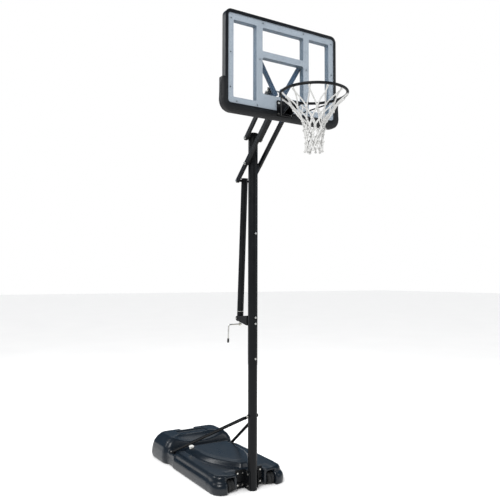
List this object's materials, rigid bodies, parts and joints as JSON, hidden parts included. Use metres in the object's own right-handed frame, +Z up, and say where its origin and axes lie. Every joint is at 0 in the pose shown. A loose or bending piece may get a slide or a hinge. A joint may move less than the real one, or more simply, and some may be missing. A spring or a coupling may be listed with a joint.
{
  "type": "portable basketball hoop",
  "caption": "Free-standing basketball hoop: wheeled water tank, jointed steel pole, crank-driven parallel arms, clear backboard in a ribbed frame, rim and net.",
  "frame": {"origin": "on the floor, on the pole's axis, under the pole's foot", "axes": "+Z up, +X to the right of someone facing the backboard, -Y from the pole towards the rim"},
  "size_m": [1.102, 2.384, 3.699],
  "materials": {
    "black_steel": "black powder coat, satin",
    "tank_plastic": "blow-moulded polyethylene, fine satin grain",
    "grey_plastic": "moulded, fine stipple",
    "clear_plastic": "clear acrylic sheet",
    "black_plastic": "moulded, satin",
    "pad_foam": "soft skinned foam",
    "zinc_steel": "zinc plated",
    "blue_steel": "satin paint",
    "white_plastic": "moulded",
    "wheel_plastic": "hard plastic",
    "net_cord": "braided white cord",
    "fill_water": "water"
  },
  "bodies": {
    "stand": {"base_tank": "tank_plastic", "ballast": "fill_water", "axle": "black_steel", "foot_bracket_left": "black_steel", "foot_bracket_right": "black_steel", "foot_bolts": "zinc_steel", "flange_bolts": "zinc_steel", "pole_foot": "black_plastic", "pole_lower": "black_steel", "pole_middle": "black_steel", "pole_upper": "black_steel", "pole_cap": "black_plastic", "pole_joint_bolts": "zinc_steel", "brace_left": "black_steel", "brace_right": "black_steel", "brace_bolts": "zinc_steel", "jack_bracket": "black_steel", "jack_bracket_bolts": "zinc_steel", "jack_pivot_pins": "zinc_steel", "arm_sleeves": "black_steel", "arm_pivot_bolts": "zinc_steel"},
    "left_wheel": {"wheel_left": "wheel_plastic"},
    "right_wheel": {"wheel_right": "wheel_plastic"},
    "filler": {"fill_cap": "white_plastic"},
    "lower_arms": {"lower_arm_left": "black_steel", "lower_arm_right": "black_steel", "jack_top_pins": "zinc_steel", "jack_pin_sleeves": "black_steel"},
    "upper_arms": {"upper_arm_left": "black_steel", "upper_arm_right": "black_steel"},
    "board": {"board_bracket": "blue_steel", "board_pivot_bolts": "zinc_steel", "board_spacers": "black_steel", "board_bracket_bolts": "zinc_steel", "v_brace_left": "blue_steel", "v_brace_right": "blue_steel", "rib_frame": "grey_plastic", "clear_sheet": "clear_plastic", "edge_trim": "black_plastic", "face_screws": "black_plastic", "edge_pad": "pad_foam", "rim_plate": "black_steel", "rim_neck": "black_steel", "rim_bolts": "zinc_steel", "rim_ring": "black_steel", "rim_brace": "black_steel", "net_hooks": "black_steel", "net": "net_cord"},
    "jack_base": {"jack_housing": "black_steel", "jack_inner_tube": "zinc_steel"},
    "jack_slider": {"jack_outer_tube": "black_steel", "jack_nut": "zinc_steel", "jack_cap": "black_plastic"},
    "crank": {"jack_screw": "zinc_steel", "crank_rod": "zinc_steel", "crank_tip": "black_plastic"}
  },
  "joints": [
    {"name": "height_adjust", "type": "hinge", "parent": "stand", "child": "lower_arms", "pos_m": [0, 0, 2.668], "axis": [1, 0, 0], "range_deg": [0, 82.26]},
    {"name": "upper_arm_swing", "type": "hinge", "parent": "stand", "child": "upper_arms", "pos_m": [0, 0, 2.881], "axis": [1, 0, 0], "range_deg": [0, 82.26]},
    {"name": "board_level", "type": "hinge", "parent": "lower_arms", "child": "board", "pos_m": [0, -0.34408, 2.97781], "axis": [1, 0, 0], "range_deg": [-82.26, 0]},
    {"name": "jack_tilt", "type": "hinge", "parent": "stand", "child": "jack_base", "pos_m": [0, 0.205, 1.376], "axis": [1, 0, 0], "range_deg": [-0.74, 0]},
    {"name": "jack_stroke", "type": "slide", "parent": "jack_base", "child": "jack_slider", "axis": [0, -0.0583, 0.9983], "range_m": [0, 0.2417]},
    {"name": "crank_turn", "type": "hinge", "parent": "jack_base", "child": "crank", "pos_m": [0, 0.205, 1.376], "axis": [0, -0.0583, 0.9983], "range_deg": [0, 14492.2]},
    {"name": "wheel_left_roll", "type": "hinge", "parent": "stand", "child": "left_wheel", "pos_m": [-0.19, 0.05, 0.051], "axis": [1, 0, 0], "continuous": true},
    {"name": "wheel_right_roll", "type": "hinge", "parent": "stand", "child": "right_wheel", "pos_m": [0.19, 0.05, 0.051], "axis": [1, 0, 0], "continuous": true},
    {"name": "filler_lift", "type": "slide", "parent": "stand", "child": "filler", "axis": [0, 0, 1], "range_m": [0, 0.04]}
  ],
  "couplings": [
    {"joint": "upper_arm_swing", "follows": "height_adjust", "ratio": 1},
    {"joint": "board_level", "follows": "height_adjust", "ratio": -1},
    {"joint": "jack_tilt", "follows": "height_adjust", "ratio": -0.008772},
    {"joint": "jack_stroke", "follows": "height_adjust", "m_per_rad": 0.16822},
    {"joint": "crank_turn", "follows": "height_adjust", "ratio": 176.16}
  ]
}
